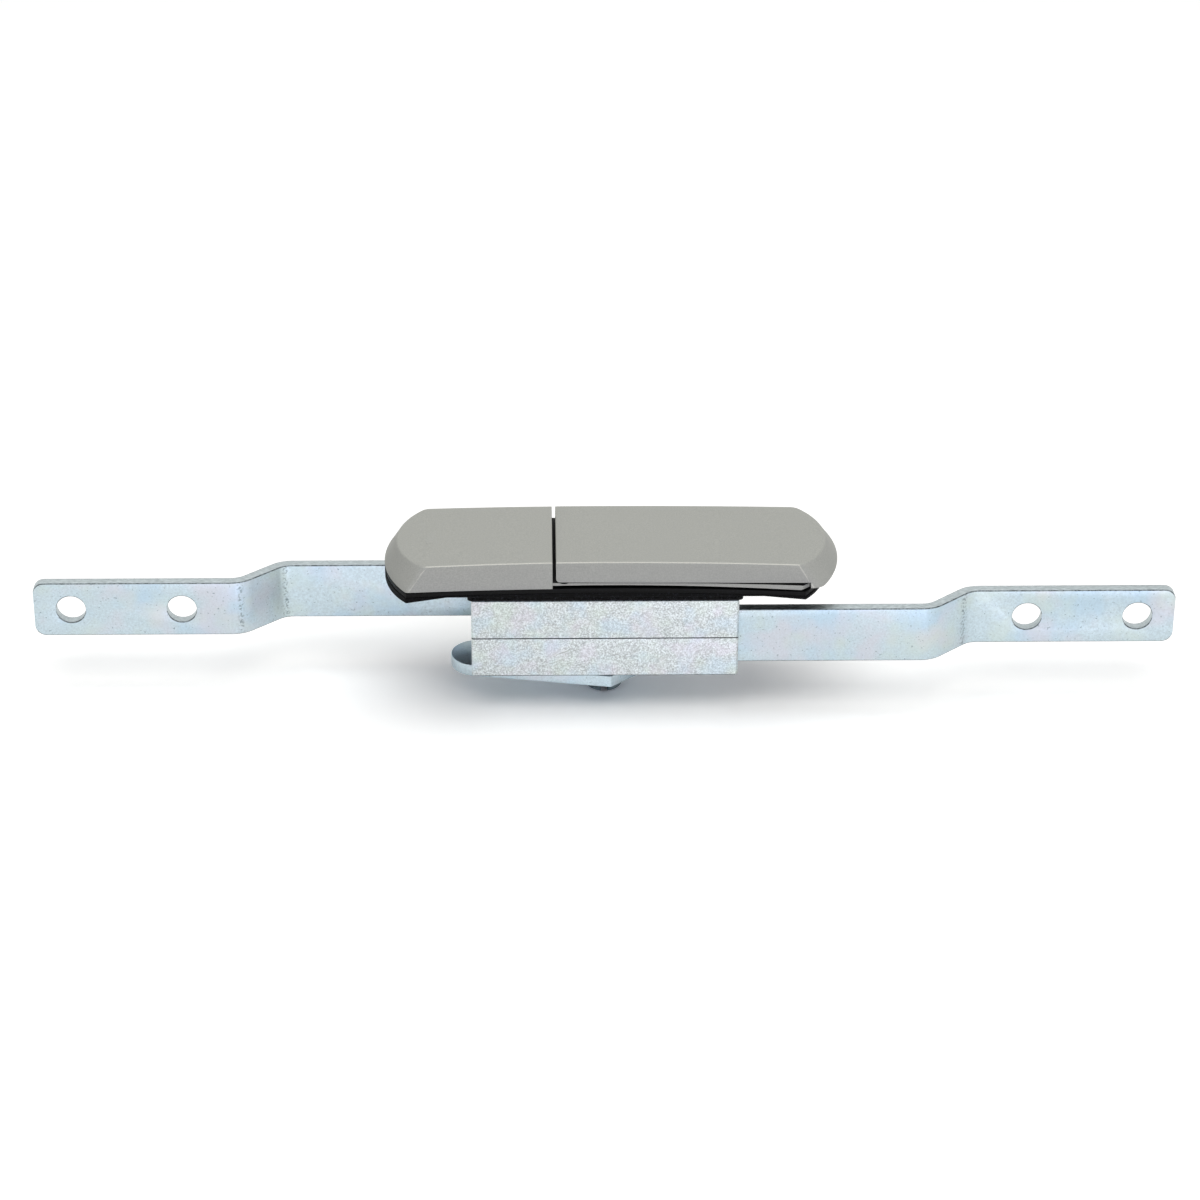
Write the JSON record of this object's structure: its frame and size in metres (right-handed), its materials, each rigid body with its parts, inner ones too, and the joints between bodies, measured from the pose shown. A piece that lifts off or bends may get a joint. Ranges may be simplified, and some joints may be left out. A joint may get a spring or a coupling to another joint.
{
  "type": "swing handle lock",
  "caption": "Flush swing handle whose lever folds out and turns a rack-and-pinion gearbox, drawing in flat latching rods and swinging a cam.",
  "frame": {"origin": "on the spindle axis, in the plane of the door's outer face, which is the flat underside of the base gasket", "axes": "+X along the handle from the head to the lever's free end, +Z out of the door towards the person who opens it, -Y to that person's right when the lever points up"},
  "size_m": [0.3088, 0.0394, 0.0464],
  "materials": {
    "silver_paint": "satin silver-grey paint on a zinc die casting",
    "zinc_casting": "bright zinc-plated zinc die casting, lightly speckled",
    "zinc_plate": "blue-white zinc-plated rolled steel",
    "plated_steel": "zinc-plated turned steel",
    "sintered_steel": "oiled sintered steel",
    "spring_steel": "blackened spring steel",
    "brass": "turned",
    "black_nylon": "moulded, fine grain",
    "white_acetal": "moulded",
    "gasket_rubber": "matt"
  },
  "bodies": {
    "base": {"base_plate": "black_nylon", "base_gasket": "gasket_rubber", "thrust_washer": "white_acetal", "mounting_screws": "plated_steel", "gearbox_upper_housing": "zinc_casting", "gearbox_lower_housing": "zinc_casting", "gearbox_rivets": "plated_steel", "upper_bush": "brass", "lower_bush": "brass"},
    "handle": {"handle_frame": "silver_paint", "head_cover": "silver_paint", "head_cover_screws": "plated_steel", "retaining_ring": "spring_steel", "square_spindle": "plated_steel", "pinion": "sintered_steel", "cam": "zinc_plate", "cam_washer": "plated_steel", "cam_spring_washer": "spring_steel", "cam_screw": "plated_steel"},
    "lever": {"lever": "silver_paint", "hinge_pin": "plated_steel", "lever_bumpers": "gasket_rubber"},
    "left_rod": {"left_rod": "zinc_plate"},
    "right_rod": {"right_rod": "zinc_plate"}
  },
  "joints": [
    {"name": "handle_turn", "type": "hinge", "parent": "base", "child": "handle", "pos_m": [0, 0, 0], "axis": [0, 0, -1], "range_deg": [0, 90]},
    {"name": "lever_lift", "type": "hinge", "parent": "handle", "child": "lever", "pos_m": [-0.011, 0, 0.00671], "axis": [0, -1, 0], "range_deg": [0, 35]},
    {"name": "left_rod_slide", "type": "slide", "parent": "base", "child": "left_rod", "axis": [1, 0, 0], "range_m": [0, 0.0201]},
    {"name": "right_rod_slide", "type": "slide", "parent": "base", "child": "right_rod", "axis": [-1, 0, 0], "range_m": [0, 0.0201]}
  ],
  "couplings": [
    {"joint": "left_rod_slide", "follows": "handle_turn", "m_per_rad": 0.012732},
    {"joint": "right_rod_slide", "follows": "handle_turn", "m_per_rad": 0.012732}
  ]
}
